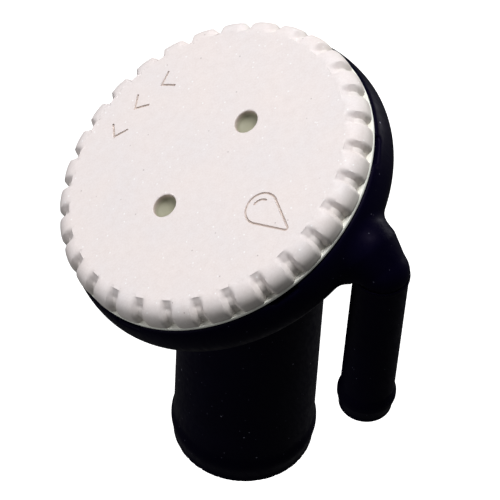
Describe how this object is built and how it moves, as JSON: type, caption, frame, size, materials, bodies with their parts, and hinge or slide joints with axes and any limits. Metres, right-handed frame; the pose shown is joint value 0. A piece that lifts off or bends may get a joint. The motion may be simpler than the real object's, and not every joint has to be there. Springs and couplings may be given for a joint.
{
  "type": "vented angled deck fill",
  "caption": "Deck fill for a boat's fuel tank: fluted screw cap, round bowl, leaning barbed hose neck and a barbed vent tail on a side knuckle.",
  "frame": {"origin": "centre of the cap's flat outer face", "axes": "+Z out of the cap along its screw axis, +X the way the hose neck leans"},
  "size_m": [0.1043, 0.0898, 0.1126],
  "materials": {
    "white_cap": "fine moulded texture, slightly chalky",
    "black_body": "smooth moulded, satin",
    "black_tail": "smooth moulded, satin",
    "black_ring": "moulded, satin",
    "seal_rubber": "matt",
    "screw_steel": "machined stainless",
    "vent_brass": "woven and pressed, dull"
  },
  "bodies": {
    "fill": {"fill_body": "black_body", "vent_tail": "black_tail", "throat_ring": "black_ring", "throat_gasket": "seal_rubber", "throat_screw_1": "screw_steel", "throat_screw_2": "screw_steel", "throat_screw_3": "screw_steel", "throat_screw_4": "screw_steel", "vent_screen": "vent_brass", "screen_retainer": "vent_brass"},
    "swivel": {"swivel_eye": "screw_steel"},
    "cap": {"fill_cap": "white_cap", "cap_seal": "seal_rubber", "swivel_screw": "screw_steel", "swivel_washer": "screw_steel"}
  },
  "joints": [
    {"name": "cap_lift", "type": "slide", "parent": "fill", "child": "swivel", "axis": [0, 0, 1], "range_m": [0, 0.01]},
    {"name": "cap_turn", "type": "hinge", "parent": "swivel", "child": "cap", "pos_m": [0, 0, 0], "axis": [0, 0, 1], "range_deg": [0, 900]}
  ],
  "couplings": [
    {"joint": "cap_turn", "follows": "cap_lift", "rad_per_m": 1570.8}
  ]
}
